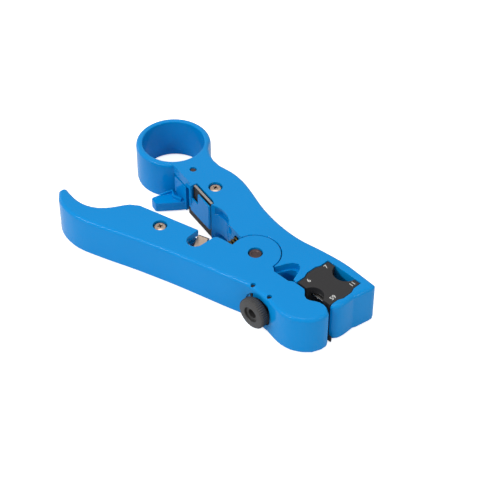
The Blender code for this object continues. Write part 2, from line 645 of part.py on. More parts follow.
def make_depth_screw(knob_material, steel, carrier_material):
    """The knurled knob, its screw, and the carrier that the screw moves towards the eye."""
    middle = THICKNESS / 2
    place = along_y(SCREW_X, middle)
    socket = KNOB_FRONT_Y + SOCKET_DEPTH
    rows = [
        (KNOB_R - 0.5, KNOB_FRONT_Y),
        (KNOB_R, KNOB_FRONT_Y + 0.5),
        (KNOB_R, KNOB_BACK_Y - 0.4),
        (KNOB_R - 0.4, KNOB_BACK_Y),
        (NECK_R, KNOB_BACK_Y),
        (NECK_R, KNOB_BACK_Y + NECK_LENGTH),
        (HUB_R, KNOB_BACK_Y + NECK_LENGTH),
        (HUB_R, HUB_END_Y),
    ]

    def knurl(row, i):
        return KNURL_DEPTH if row in (1, 2) and i % 2 else 0.0

    knob = lathe("depth_knob", rows, knob_material, count=2 * KNOB_TEETH, place=place, ripple=knurl)
    bore = SCREW_R + PIN_FIT
    cut(
        knob,
        lathe("knob socket", [(SOCKET_R, KNOB_FRONT_Y - PAST), (SOCKET_R, socket)], count=24, place=place),
        lathe("knob bore", [(SOCKET_BORE_R, socket - 0.2), (SOCKET_BORE_R, socket + SOCKET_BORE_DEPTH)], place=place),
        lathe("knob thread", [(bore, socket + 1.0), (bore, HUB_END_Y + PAST)], place=place),
    )
    thread_start = socket + SOCKET_BORE_DEPTH - 0.8
    lathe(
        "depth_screw",
        [(SCREW_R - 0.3, thread_start), (SCREW_R, thread_start + 0.3), (SCREW_R, SCREW_END_Y - 0.4)]
        + [(SCREW_R - 0.4, SCREW_END_Y)],
        steel,
        place=place,
    )
    half_width, half_height = CARRIER_WIDTH / 2, CARRIER_HEIGHT / 2
    low = (SCREW_X - half_width, CARRIER_BACK_Y, middle - half_height)
    high = (SCREW_X + half_width, CARRIER_FRONT_Y, middle + half_height)
    carrier = box("blade_carrier", low, high, carrier_material)
    hollow_end = SCREW_END_Y + SEAT_GAP
    blade_low = middle + 1.6
    blade_high = blade_low + EYE_BLADE_THICKNESS
    half_blade = EYE_BLADE_WIDTH / 2
    slit_low = (SCREW_X - half_blade - SEAT_GAP, CARRIER_FRONT_Y - 2.3, blade_low - SEAT_GAP)
    slit_high = (SCREW_X + half_blade + SEAT_GAP, CARRIER_FRONT_Y + PAST, blade_high + SEAT_GAP)
    cut(
        carrier,
        lathe("carrier thread", [(bore, CARRIER_BACK_Y - PAST), (bore, hollow_end)], place=place),
        box("eye blade slit", slit_low, slit_high),
    )
    blade = [
        (SCREW_X - half_blade, CARRIER_FRONT_Y - 2.0),
        (SCREW_X + half_blade, CARRIER_FRONT_Y - 2.0),
        (SCREW_X + half_blade, EYE_BLADE_EDGE_Y - 0.6),
        (SCREW_X, EYE_BLADE_EDGE_Y),
        (SCREW_X - half_blade, EYE_BLADE_EDGE_Y - 0.6),
    ]
    prism("eye_blade", blade, blade_low, blade_high, steel)
    for side, name in ((-1, "knob_pin_left"), (1, "knob_pin_right")):
        cylinder(name, knob_pin_place(side), KNOB_PIN_R, 2.3, THICKNESS - 0.8, steel, count=12)


def make_screw(name, centre, head_low, material):
    """A pan-head machine screw with a cross recess."""
    head_top = head_low + SCREW_HEAD_HEIGHT
    screw = lathe(
        name,
        [
            (SHANK_R - 0.3, THICKNESS - SHANK_LENGTH - 3.6),
            (SHANK_R, THICKNESS - SHANK_LENGTH - 3.2),
            (SHANK_R, head_low),
            (SCREW_HEAD_R, head_low),
            (SCREW_HEAD_R, head_top - 0.7),
            (SCREW_HEAD_R - 0.5, head_top - 0.2),
            (SCREW_HEAD_R - 1.2, head_top),
        ],
        material,
        count=24,
        place=Matrix.Translation((*centre, 0.0)),
    )
    reach = SCREW_HEAD_R - 0.9
    half = RECESS_WIDTH / 2
    x, y = centre
    top = head_top + PAST
    cut(
        screw,
        box(f"{name} recess across", (x - reach, y - half, head_top - RECESS_DEPTH), (x + reach, y + half, top)),
        box(f"{name} recess along", (x - half, y - reach, head_top - RECESS_DEPTH), (x + half, y + reach, top)),
    )


def make_plates(steel):
    """The upright plate in the ring arm, and the flat cutter held by the grip's screw."""
    front = 0.2
    back = front + PLATE_THICKNESS
    plate = [on_arm(PLATE_START, front), on_arm(PLATE_START, back), on_arm(PLATE_END, back), on_arm(PLATE_END, front)]
    steel_plate = prism("arm_plate", plate, PLATE_BOTTOM, THICKNESS - 0.1, steel)
    foot = [on_arm(PLATE_START, front), on_arm(PLATE_START, back)]
    foot += [on_arm(PLATE_FOOT_END, back), on_arm(PLATE_FOOT_END, front)]
    join(steel_plate, prism("plate foot", foot, PLATE_BOTTOM, PLATE_FOOT_HEIGHT))

    cutter = prism("cutter_blade", cutter_outline(), CUTTER_Z, CUTTER_Z + CUTTER_THICKNESS, steel)
    cut(cutter, cylinder("cutter hole", GRIP_SCREW, SHANK_R + PIN_FIT, CUTTER_Z - PAST, CUTTER_Z + 3.0))


def make_lever(plastic, steel):
    """The lock lever: a tall hub in the arm's slot, and a flat thumb tab with a raised rim."""
    lever = prism("lock_lever", lever_outline(), LEVER_BOTTOM, LEVER_TOP, plastic)
    join(lever, prism("thumb tab", tab_outline(), LEVER_BOTTOM, TAB_TOP))
    rim = [(-55.7, 5.0), (-53.4, 9.2), (-50.9, 7.6), (-47.4, 8.4)]
    join(lever, prism("tab rim", strip_between(rim, 0.9), TAB_TOP - 1.0, TAB_TOP + RIM_HEIGHT))
    bore = LEVER_PIN_R + PIN_FIT
    cut(lever, cylinder("lever bore", LEVER_PIVOT, bore, -PAST, LEVER_TOP + PAST))
    cylinder("lever_pin", LEVER_PIVOT, LEVER_PIN_R, LEVER_BOTTOM + 0.4, THICKNESS - 0.9, steel)


def centre_on_base():
    """Moves the whole tool so that its origin is under the middle of its box."""
    bpy.context.view_layer.update()
    graph = bpy.context.evaluated_depsgraph_get()
    corners = []
    for obj in TOOL.children:
        if not obj.hide_render:
            corners += [obj.evaluated_get(graph).matrix_world @ Vector(c) for c in obj.bound_box]
    middle = [(min(c[i] for c in corners) + max(c[i] for c in corners)) / 2 for i in (0, 1)]
    TOOL.location = (-middle[0], -middle[1], -min(c.z for c in corners))


for leftover in list(bpy.data.objects):
    bpy.data.objects.remove(leftover)

TOOL = bpy.data.objects.new("tool_origin", None)
bpy.context.scene.collection.objects.link(TOOL)

blue = make_material("blue_plastic", BLUE, 0.32)
black = make_material("black_plastic", BLACK, 0.5)
grey = make_material("grey_plastic", GREY, 0.45)
bright = make_material("bright_steel", STEEL, 0.28, 1.0)
dark = make_material("dark_steel", DARK_STEEL, 0.4, 1.0)
gold = make_material("gilt_steel", GOLD, 0.3, 1.0)

make_body(blue)
make_grip(blue)
make_pivot(bright, dark)
make_spring(gold)
make_cassette(black, bright)
make_depth_screw(grey, bright, black)
make_screw("arm_screw", ARM_SCREW, THICKNESS - COUNTERBORE_DEPTH + SEAT_GAP, bright)
make_screw("grip_screw", GRIP_SCREW, CUTTER_Z + CUTTER_THICKNESS + SEAT_GAP, bright)
make_plates(bright)
make_lever(blue, dark)
centre_on_base()
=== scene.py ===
"""The finished look of a pocket cable stripper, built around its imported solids.

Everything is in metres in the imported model's frame: +X along the jaws, +Z up through the tool.
"""

import math

import bpy
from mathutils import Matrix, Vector


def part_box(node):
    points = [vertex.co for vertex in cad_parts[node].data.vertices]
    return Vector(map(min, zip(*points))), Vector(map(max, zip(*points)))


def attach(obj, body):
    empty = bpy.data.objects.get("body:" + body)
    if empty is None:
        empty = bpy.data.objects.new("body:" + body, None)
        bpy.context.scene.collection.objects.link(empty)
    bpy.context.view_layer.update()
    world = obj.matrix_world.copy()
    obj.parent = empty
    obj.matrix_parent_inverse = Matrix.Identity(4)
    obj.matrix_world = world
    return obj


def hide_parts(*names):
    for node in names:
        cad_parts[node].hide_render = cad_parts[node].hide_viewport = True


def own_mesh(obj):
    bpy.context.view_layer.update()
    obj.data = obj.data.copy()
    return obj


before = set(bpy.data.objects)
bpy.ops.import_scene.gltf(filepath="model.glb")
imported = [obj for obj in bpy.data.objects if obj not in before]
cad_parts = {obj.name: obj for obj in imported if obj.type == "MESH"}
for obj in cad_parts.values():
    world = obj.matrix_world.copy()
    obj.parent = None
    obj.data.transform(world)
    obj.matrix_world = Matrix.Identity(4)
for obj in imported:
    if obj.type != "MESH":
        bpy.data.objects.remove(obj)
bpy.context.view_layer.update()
MM = 0.001


# The ring arm and head: one injection moulding in blue nylon, satin from its mould, with a
# generous round on its outer rim and nearly sharp inner edges. The head holds the cassette,
# and the round tongue between the grip's two ears is part of it.
BLUE = (0.0002, 0.244, 0.630)
# The lighter blue is a painted highlight along the eased edges.
BLUE_EDGE_HIGHLIGHT = (0.010, 0.330, 0.720)
BLUE_ROUGHNESS = 0.15
BLUE_SPECULAR = 0.14
BLUE_BUMP = 0.22
MOULD_EDGE = 0.22 * MM
THICKNESS = 16.2 * MM
EAR_RECESS_R = 9.2 * MM
EAR_EASE = 0.26 * MM
EAR_EASE_STEPS = 3
LEVER_SLOT_TOP = 10.4 * MM
LEVER_RISE = 1.9 * MM
WEB_BOTTOM = 2.3 * MM
WEB_TOP = 13.6 * MM
WEB_RISE = 1.6 * MM
WINDOW_BOTTOM = 9.4 * MM
WINDOW_RISE = 1.0 * MM
FOOT_SLOT_TOP = 2.2 * MM
FOOT_RISE = 1.9 * MM
SMOOTH_ANGLE = math.radians(38)
EDGE_ANGLE = math.radians(42)
EDGE_STEPS = 2
FLAT_ANGLE = math.radians(0.3)
FLAT_FACE_WEIGHT = 80
MERGE_DISTANCE = 1e-6
LEVEL_SLACK = 0.01 * MM
RIM_SLACK = 0.05 * MM


def choose(obj):
    """Deselects everything, and makes this the one selected, active object."""
    bpy.ops.object.select_all(action="DESELECT")
    obj.select_set(True)
    bpy.context.view_layer.objects.active = obj


def enter_edit():
    bpy.ops.object.mode_set(mode="EDIT")


def leave_edit():
    bpy.ops.object.mode_set(mode="OBJECT")


def clear_picks(obj):
    """Leaves nothing selected in this object's mesh, ready for a choice in code."""
    choose(obj)
    enter_edit()
    bpy.ops.mesh.select_mode(type="VERT")
    bpy.ops.mesh.select_all(action="DESELECT")
    leave_edit()


def pick_vertices(obj, test):
    """Selects the vertices whose place passes the test, and enters edit mode."""
    clear_picks(obj)
    for vertex in obj.data.vertices:
        vertex.select = test(vertex.co)
    enter_edit()


def shift(piece, test, change):
    """Moves the corners of a piece whose place passes the test."""
    pick_vertices(piece, test)
    bpy.ops.transform.translate(value=change)
    leave_edit()


def lift(piece, level, rise):
    """Raises the corners of a piece that lie at one height."""
    shift(piece, lambda place: abs(place.z - level) < LEVEL_SLACK, (0.0, 0.0, rise))


def ease_round_rim(piece, centre, radius, height, width):
    """Rounds the edges of a piece that lie on one level circle."""
    clear_picks(piece)
    on_rim = [
        abs((vertex.co - centre).xy.length - radius) < RIM_SLACK and abs(vertex.co.z - height) < LEVEL_SLACK
        for vertex in piece.data.vertices
    ]
    for line in piece.data.edges:
        line.select = on_rim[line.vertices[0]] and on_rim[line.vertices[1]]
    enter_edit()
    bpy.ops.mesh.select_mode(type="EDGE")
    bpy.ops.mesh.bevel(offset=width, segments=EAR_EASE_STEPS, affect="EDGES")
    leave_edit()


def apply_modifier(obj, kind, **values):
    """Adds a modifier with these settings and applies it."""
    modifier = obj.modifiers.new(kind.lower(), kind)
    for name, value in values.items():
        setattr(modifier, name, value)
    choose(obj)
    bpy.ops.object.modifier_apply(modifier=modifier.name)


def surface(piece, *materials):
    """Gives a piece these materials in place of any that it had."""
    piece.data.materials.clear()
    for material in materials:
        piece.data.materials.append(material)


def finished_copy(node, body, material, edge=0.0, reshape=None):
    """A merged, smooth-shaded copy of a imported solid, with its edges eased, which stands for it."""
    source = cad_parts[node]
    piece = bpy.data.objects.new(f"{node}_finished", source.data.copy())
    bpy.context.scene.collection.objects.link(piece)
    choose(piece)
    bpy.ops.mesh.customdata_custom_splitnormals_clear()
    enter_edit()
    bpy.ops.mesh.select_all(action="SELECT")
    bpy.ops.mesh.remove_doubles(threshold=MERGE_DISTANCE)
    bpy.ops.mesh.dissolve_limited(angle_limit=FLAT_ANGLE)
    leave_edit()
    if reshape:
        reshape(piece)
    if edge:
        apply_modifier(
            piece, "BEVEL", width=edge, segments=EDGE_STEPS, limit_method="ANGLE", angle_limit=EDGE_ANGLE
        )
    bpy.ops.object.shade_smooth_by_angle(angle=SMOOTH_ANGLE)
    apply_modifier(piece, "WEIGHTED_NORMAL", keep_sharp=True, weight=FLAT_FACE_WEIGHT)
    surface(piece, material)
    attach(piece, body)
    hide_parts(node)
    return piece


def new_group(name, inputs, outputs):
    """A shader node group with named float or vector sockets."""
    group = bpy.data.node_groups.new(name, "ShaderNodeTree")
    for socket, kind, value in inputs:
        made = group.interface.new_socket(socket, in_out="INPUT", socket_type=kind)
        made.default_value = value
    for socket, kind in outputs:
        group.interface.new_socket(socket, in_out="OUTPUT", socket_type=kind)
    return group, group.nodes.new("NodeGroupInput"), group.nodes.new("NodeGroupOutput")


def add_node(tree, kind, **values):
    """A node, with the given sockets and settings set."""
    node = tree.nodes.new(kind)
    for name, value in values.items():
        if name in node.inputs:
            node.inputs[name].default_value = value
        else:
            setattr(node, name, value)
    return node


def calculate(tree, operation, first, second, third=0.0):
    """A Math node between two sockets or numbers, and its result."""
    node = tree.nodes.new("ShaderNodeMath")
    node.operation = operation
    for socket, value in zip(node.inputs, (first, second, third)):
        if isinstance(value, (int, float)):
            socket.default_value = value
        else:
            tree.links.new(value, socket)
    return node.outputs[0]


PEBBLE_SCALE = 2600.0
PEBBLE_SHARE = 0.35
WAVE_SCALE = 90.0
WAVE_SHARE = 0.65
CLOUD_SCALE = 26.0
NOISE_MIDDLE = 0.5


def build_mould_skin():
    """The skin that a textured mould leaves: a fine pebble, slow waves and small changes of gloss."""
    group, entry, leave = new_group(
        "mould_skin",
        [("Pebble", "NodeSocketFloat", PEBBLE_SCALE), ("Wave", "NodeSocketFloat", WAVE_SCALE)],
        [("Height", "NodeSocketFloat"), ("Gloss", "NodeSocketFloat"), ("Tone", "NodeSocketFloat")],
    )
    place = group.nodes.new("ShaderNodeTexCoord").outputs["Object"]
    pebble = add_node(group, "ShaderNodeTexNoise", Detail=3.0, Roughness=0.6)
    wave = add_node(group, "ShaderNodeTexNoise", Detail=2.0, Roughness=0.45)
    cloud = add_node(group, "ShaderNodeTexNoise", Scale=CLOUD_SCALE, Detail=2.0, Roughness=0.5)
    for node in (pebble, wave, cloud):
        group.links.new(place, node.inputs["Vector"])
    group.links.new(entry.outputs["Pebble"], pebble.inputs["Scale"])
    group.links.new(entry.outputs["Wave"], wave.inputs["Scale"])
    fine = calculate(group, "MULTIPLY", pebble.outputs[0], PEBBLE_SHARE)
    height = calculate(group, "MULTIPLY_ADD", wave.outputs[0], WAVE_SHARE, fine)
    gloss = calculate(group, "SUBTRACT", pebble.outputs[0], NOISE_MIDDLE)
    tone = calculate(group, "SUBTRACT", cloud.outputs[0], NOISE_MIDDLE)
    group.links.new(height, leave.inputs["Height"])
    group.links.new(gloss, leave.inputs["Gloss"])
    group.links.new(tone, leave.inputs["Tone"])
    return group


EDGE_RADIUS = 0.0003
EDGE_BREAKUP = 700.0
EDGE_TURN_START = 0.02
EDGE_TURN_FULL = 0.20


def build_eased_edge():
    """Where a surface turns over an edge: its rounded normal, and a broken mask of the edge."""
    group, entry, leave = new_group(
        "eased_edge",
        [("Radius", "NodeSocketFloat", EDGE_RADIUS), ("Breakup", "NodeSocketFloat", EDGE_BREAKUP)],
        [("Normal", "NodeSocketVector"), ("Edge", "NodeSocketFloat")],
    )
    rounded = add_node(group, "ShaderNodeBevel", samples=6)
    group.links.new(entry.outputs["Radius"], rounded.inputs["Radius"])
    true_normal = group.nodes.new("ShaderNodeNewGeometry").outputs["Normal"]
    across = group.nodes.new("ShaderNodeVectorMath")
    across.operation = "DOT_PRODUCT"
    group.links.new(rounded.outputs[0], across.inputs[0])
    group.links.new(true_normal, across.inputs[1])
    turned = calculate(group, "SUBTRACT", 1.0, across.outputs["Value"])
    place = group.nodes.new("ShaderNodeTexCoord").outputs["Object"]
    patchy = add_node(group, "ShaderNodeTexNoise", Detail=4.0, Roughness=0.65)
    group.links.new(place, patchy.inputs["Vector"])
    group.links.new(entry.outputs["Breakup"], patchy.inputs["Scale"])
    sharp = add_node(group, "ShaderNodeMapRange")
    sharp.inputs["From Min"].default_value = EDGE_TURN_START
    sharp.inputs["From Max"].default_value = EDGE_TURN_FULL
    group.links.new(turned, sharp.inputs["Value"])
    broken = calculate(group, "MULTIPLY", sharp.outputs[0], patchy.outputs[0])
    group.links.new(broken, leave.inputs["Edge"])
    group.links.new(rounded.outputs[0], leave.inputs["Normal"])
    return group


MOULD_SKIN = build_mould_skin()
EASED_EDGE = build_eased_edge()


def place_group(tree, group, **values):
    """A node group in a material, with the material's own values."""
    node = tree.nodes.new("ShaderNodeGroup")
    node.node_tree = group
    for name, value in values.items():
        node.inputs[name].default_value = value
    return node


def blend_colours(tree, factor, first, second):
    """A colour mix; each colour is a socket or an (r, g, b)."""
    node = tree.nodes.new("ShaderNodeMix")
    node.data_type = "RGBA"
    for socket, value in ((node.inputs[0], factor), (node.inputs[6], first), (node.inputs[7], second)):
        if isinstance(value, tuple):
            socket.default_value = (*value, 1.0)
        elif isinstance(value, float):
            socket.default_value = value
        else:
            tree.links.new(value, socket)
    return node.outputs[2]


DARKER_TONE = 0.93
LIGHTER_TONE = 1.06
EDGE_HIGHLIGHT_SHARE = 0.55
GLOSS_SPREAD = 0.16
SKIN_RELIEF = 0.00005


def moulded_plastic(name, colour, edge_highlight, roughness, edge, pebble, bump, specular):
    """A moulded plastic: its skin, a painted highlight that makes its eased edges a little lighter, and its
    gloss.
    """
    material = bpy.data.materials.new(name)
    material.use_nodes = True
    tree = material.node_tree
    shader = tree.nodes["Principled BSDF"]
    shader.inputs["Specular IOR Level"].default_value = specular
    skin = place_group(tree, MOULD_SKIN, Pebble=pebble)
    eased = place_group(tree, EASED_EDGE, Radius=edge)
    darker = tuple(DARKER_TONE * value for value in colour)
    lighter = tuple(min(1.0, LIGHTER_TONE * value) for value in colour)
    tone = calculate(tree, "ADD", skin.outputs["Tone"], NOISE_MIDDLE)
    body_colour = blend_colours(tree, tone, darker, lighter)
    # Sharp edges are painted lighter: a painted highlight along each edge.
    painted_edge_highlight = calculate(tree, "MULTIPLY", eased.outputs["Edge"], EDGE_HIGHLIGHT_SHARE)
    tree.links.new(blend_colours(tree, painted_edge_highlight, body_colour, edge_highlight), shader.inputs["Base Color"])
    gloss = calculate(tree, "MULTIPLY_ADD", skin.outputs["Gloss"], GLOSS_SPREAD, roughness)
    tree.links.new(gloss, shader.inputs["Roughness"])
    relief = add_node(tree, "ShaderNodeBump", Strength=bump, Distance=SKIN_RELIEF)
    tree.links.new(skin.outputs["Height"], relief.inputs["Height"])
    tree.links.new(eased.outputs["Normal"], relief.inputs["Normal"])
    tree.links.new(relief.outputs[0], shader.inputs["Normal"])
    return material


pivot_low, pivot_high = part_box("pivot_pin")
pivot = (pivot_low + pivot_high) / 2


def reshape_body(piece):
    """The lever's slot, the plate's web and its foot slot rise, and the ears' recess gets a soft rim."""
    lift(piece, LEVER_SLOT_TOP, LEVER_RISE)
    lift(piece, WEB_TOP, WEB_RISE)
    lift(piece, WINDOW_BOTTOM, WINDOW_RISE)
    lift(piece, WEB_BOTTOM, FOOT_RISE)
    lift(piece, FOOT_SLOT_TOP, FOOT_RISE)
    ease_round_rim(piece, pivot, EAR_RECESS_R, THICKNESS, EAR_EASE)


blue_nylon = moulded_plastic(
    "blue_nylon",
    BLUE,
    BLUE_EDGE_HIGHLIGHT,
    roughness=BLUE_ROUGHNESS,
    edge=MOULD_EDGE,
    pebble=PEBBLE_SCALE,
    bump=BLUE_BUMP,
    specular=BLUE_SPECULAR,
)
finished_copy("main_body", "body", blue_nylon, reshape=reshape_body)


# The steel in the ring arm: an upright ground plate dropped into a slot along the arm's inner
# edge, with a long foot along the bottom. It is held by the web of the moulding.
PLATE_BRIGHT = (0.42, 0.41, 0.39)
PLATE_DULL = (0.20, 0.19, 0.18)
# The near-black oxide is partly the steel's own dark finish and partly painted shade.
OXIDE_AND_SHADE = (0.016, 0.012, 0.009)
OXIDE_AND_SHADE_DULL = (0.060, 0.044, 0.030)
PLATE_FOOT_TOP = 1.9 * MM
FACES_UP = 0.9
STEEL_EDGE = 0.10 * MM
LINE_FINENESS = 5200.0
LINE_STRETCH = (0.04, 1.0, 1.0)
LINE_GLOSS = 0.24
LINE_BUMP = 0.25
LINE_DEPTH = 0.00002
PATCH_SCALE = 260.0
TARNISH_GAIN = 1.6
TARNISH_START = -0.45


def build_grind_lines():
    """The fine parallel lines of a ground or brushed face, with slow patches of tarnish."""
    group, entry, leave = new_group(
        "grind_lines",
        [
            ("Turn", "NodeSocketFloat", 0.0),
            ("Fineness", "NodeSocketFloat", LINE_FINENESS),
            ("Patches", "NodeSocketFloat", PATCH_SCALE),
        ],
        [("Lines", "NodeSocketFloat"), ("Tarnish", "NodeSocketFloat")],
    )
    place = group.nodes.new("ShaderNodeTexCoord").outputs["Object"]
    turned = add_node(group, "ShaderNodeVectorRotate", rotation_type="Z_AXIS")
    group.links.new(place, turned.inputs["Vector"])
    group.links.new(entry.outputs["Turn"], turned.inputs["Angle"])
    stretched = add_node(group, "ShaderNodeMapping")
    stretched.inputs["Scale"].default_value = LINE_STRETCH
    group.links.new(turned.outputs[0], stretched.inputs["Vector"])
    lines = add_node(group, "ShaderNodeTexNoise", Detail=3.0, Roughness=0.7)
    group.links.new(stretched.outputs[0], lines.inputs["Vector"])
    group.links.new(entry.outputs["Fineness"], lines.inputs["Scale"])
    patches = add_node(group, "ShaderNodeTexNoise", Detail=4.0, Roughness=0.6)
    group.links.new(place, patches.inputs["Vector"])
    group.links.new(entry.outputs["Patches"], patches.inputs["Scale"])
    group.links.new(lines.outputs[0], leave.inputs["Lines"])
    group.links.new(patches.outputs[0], leave.inputs["Tarnish"])
    return group


GRIND_LINES = build_grind_lines()


def ground_steel(
    name, bright, dull, roughness, turn=0.0, fineness=LINE_FINENESS, metallic=1.0, patches=PATCH_SCALE
):
    """A ground or brushed metal, duller in patches and rougher along its lines."""
    material = bpy.data.materials.new(name)
    material.use_nodes = True
    tree = material.node_tree
    shader = tree.nodes["Principled BSDF"]
    shader.inputs["Metallic"].default_value = metallic
    lines = place_group(tree, GRIND_LINES, Turn=turn, Fineness=fineness, Patches=patches)
    eased = place_group(tree, EASED_EDGE, Radius=STEEL_EDGE)
    patchy = calculate(tree, "MULTIPLY_ADD", lines.outputs["Tarnish"], TARNISH_GAIN, TARNISH_START)
    tree.links.new(blend_colours(tree, patchy, bright, dull), shader.inputs["Base Color"])
    gloss = calculate(tree, "MULTIPLY_ADD", lines.outputs["Lines"], LINE_GLOSS, roughness - LINE_GLOSS / 2)
    tree.links.new(gloss, shader.inputs["Roughness"])
    relief = add_node(tree, "ShaderNodeBump", Strength=LINE_BUMP, Distance=LINE_DEPTH)
    tree.links.new(lines.outputs["Lines"], relief.inputs["Height"])
    tree.links.new(eased.outputs["Normal"], relief.inputs["Normal"])
    tree.links.new(relief.outputs[0], shader.inputs["Normal"])
    return material


plate_low, plate_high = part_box("arm_plate")
plate_turn = math.atan2(plate_low.y - plate_high.y, plate_high.x - plate_low.x)
plate_steel = ground_steel(
    "plate_steel", PLATE_BRIGHT, PLATE_DULL, roughness=0.30, turn=-plate_turn, patches=600.0
)
oxide_and_shade_steel = ground_steel(
    "plate_oxide_and_shade", OXIDE_AND_SHADE, OXIDE_AND_SHADE_DULL, roughness=0.42, turn=-plate_turn, metallic=0.6
)


def reshape_plate(piece):
    """The foot is as thick as its slot is high."""
    lift(piece, PLATE_FOOT_TOP, FOOT_RISE)


# Only the plate's upward faces above the web get bright steel; its sides and foot get the near-black oxide
# as painted shade.
plate = finished_copy("arm_plate", "body", oxide_and_shade_steel, reshape=reshape_plate)
plate.data.materials.append(plate_steel)
for face in plate.data.polygons:
    if face.normal.z > FACES_UP and face.center.z > WEB_TOP:
        face.material_index = 1


# The two screws: nickel-plated pan heads with a cross recess, sunk in the arm and in the grip.
# Each head is turned and domed, the recess tapers as a driver's point does, and the thread
# runs down into the moulding.
HEAD_HEIGHT = 1.5 * MM
HEAD_RISE = 0.8 * MM
HEAD_CORNER = 0.12 * MM
HEAD_EDGE = 0.04 * MM
HEAD_EDGE_ANGLE = math.radians(40)
HEAD_SMOOTH_ANGLE = math.radians(35)
DOME_HEIGHT = 0.60 * MM
DOME_REACH = 1.35 * MM
DOME_STEPS = 6
DOME_FOOT = 0.25 * MM
CROWN_SHARE = 0.35
CROWN_STEP = 0.02 * MM
RECESS_REACH = 1.30 * MM
RECESS_WIDTH = 0.62 * MM
RECESS_DEPTH = 0.95 * MM
RECESS_TAPER = (0.45, 0.7, 1.0)
RECESS_LIP = 0.12 * MM
SHANK_SHARE = 0.5
SHANK_PLAIN = 0.4 * MM
POINT_TAPER = 0.35 * MM
THREAD_PITCH = 0.7 * MM
THREAD_DEPTH = 0.12 * MM
NICKEL = (0.48, 0.41, 0.35)
NICKEL_DULL = (0.25, 0.125, 0.065)
# The recess colours are painted shade inside the cross.
RECESS_SHADE_BRASS = (0.20, 0.11, 0.055)
RECESS_SHADE_DARK = (0.045, 0.030, 0.020)
NICKEL_FINENESS = 3800.0
NICKEL_PATCHES = 1300.0
nickel = ground_steel(
    "nickel_plate", NICKEL, NICKEL_DULL, roughness=0.20, fineness=NICKEL_FINENESS, patches=NICKEL_PATCHES
)
recess_painted_shade = ground_steel(
    "recess_painted_shade", RECESS_SHADE_BRASS, RECESS_SHADE_DARK, roughness=0.40, fineness=NICKEL_FINENESS, patches=NICKEL_PATCHES
)


def settle(obj):
    """Puts the object's place into its mesh, so that the object sits at the origin."""
    choose(obj)
    bpy.ops.object.transform_apply(location=True, rotation=True, scale=True)


def turned_piece(name, profile, centre, sides=48):
    """A turned piece: a disc extruded ring by ring, each ring at its own (radius, height)."""
    (radius, height), *rest = profile
    bpy.ops.mesh.primitive_circle_add(
        vertices=sides, radius=radius, fill_type="NGON", location=(0.0, 0.0, height)
    )
    piece = bpy.context.active_object
    piece.name = name
    settle(piece)
    enter_edit()
    bpy.ops.mesh.select_mode(type="FACE")
    bpy.ops.mesh.select_all(action="SELECT")
    for next_radius, next_height in rest:
        bpy.ops.mesh.extrude_region_move(TRANSFORM_OT_translate={"value": (0.0, 0.0, next_height - height)})
        if next_radius != radius:
            share = next_radius / radius
            bpy.ops.transform.resize(value=(share, share, 1.0), center_override=(0.0, 0.0, next_height))
        radius, height = next_radius, next_height
    bpy.ops.mesh.select_all(action="SELECT")
    bpy.ops.mesh.normals_make_consistent(inside=False)
    leave_edit()
    piece.location = centre
    settle(piece)
    return piece


def carve(piece, tool):
    """Cuts a tool's shape out of a piece, and removes the tool."""
    apply_modifier(piece, "BOOLEAN", operation="DIFFERENCE", solver="EXACT", object=tool)
    bpy.data.objects.remove(tool)


def pan_screw(node, body, turn):
    """A pan-head screw in a node's place: domed head, tapered cross recess, thread on its shank."""
    low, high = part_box(node)
    centre = Vector(((low.x + high.x) / 2, (low.y + high.y) / 2, 0.0))
    head_r = (high.x - low.x) / 2
    shank_r = head_r * SHANK_SHARE
    head_low = high.z - HEAD_HEIGHT
    head_top = high.z + HEAD_RISE
    level = low.z + SHANK_PLAIN
    profile = [(shank_r - POINT_TAPER, low.z), (shank_r - THREAD_DEPTH, level)]
    while level + THREAD_PITCH < head_low - SHANK_PLAIN:
        profile.append((shank_r, level + THREAD_PITCH / 2))
        profile.append((shank_r - THREAD_DEPTH, level + THREAD_PITCH))
        level += THREAD_PITCH
    profile.append((shank_r - THREAD_DEPTH, head_low))
    profile.append((head_r - HEAD_CORNER, head_low))
    profile.append((head_r, head_low + HEAD_CORNER))
    profile.append((head_r, head_top - DOME_HEIGHT - DOME_FOOT))
    for step in range(1, DOME_STEPS):
        rise = math.radians(90 * step / DOME_STEPS)
        radius = head_r - DOME_REACH * (1 - math.cos(rise))
        profile.append((radius, head_top - DOME_HEIGHT * (1 - math.sin(rise)) - CROWN_STEP))
    profile.append((CROWN_SHARE * head_r, head_top))
    screw = turned_piece(f"{node}_turned", profile, centre)
    for quarter in (0, 90):
        bpy.ops.mesh.primitive_cube_add(size=1.0, location=(0.0, 0.0, 0.0))
        wedge = bpy.context.active_object
        wedge.scale = (2 * RECESS_REACH, RECESS_WIDTH, 2 * RECESS_DEPTH)
        settle(wedge)
        pick_vertices(wedge, lambda place: place.z < 0)
        bpy.ops.transform.resize(value=RECESS_TAPER)
        leave_edit()
        wedge.rotation_euler.z = math.radians(quarter + turn)
        wedge.location = centre + Vector((0.0, 0.0, head_top))
        settle(wedge)
        carve(screw, wedge)
    apply_modifier(
        screw,
        "BEVEL",
        width=HEAD_EDGE,
        segments=EDGE_STEPS,
        limit_method="ANGLE",
        angle_limit=HEAD_EDGE_ANGLE,
    )
    bpy.ops.object.shade_smooth_by_angle(angle=HEAD_SMOOTH_ANGLE)
    surface(screw, nickel, recess_painted_shade)
    # The walls of the cross recess get the dark brassy material: painted shade in the recess.
    for face in screw.data.polygons:
        inside_cross = (face.center - centre).xy.length < RECESS_REACH
        if inside_cross and head_low < face.center.z < head_top - RECESS_LIP:
            face.material_index = 1
    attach(screw, body)
    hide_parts(node)


pan_screw("arm_screw", "body", 20)
pan_screw("grip_screw", "grip", 62)


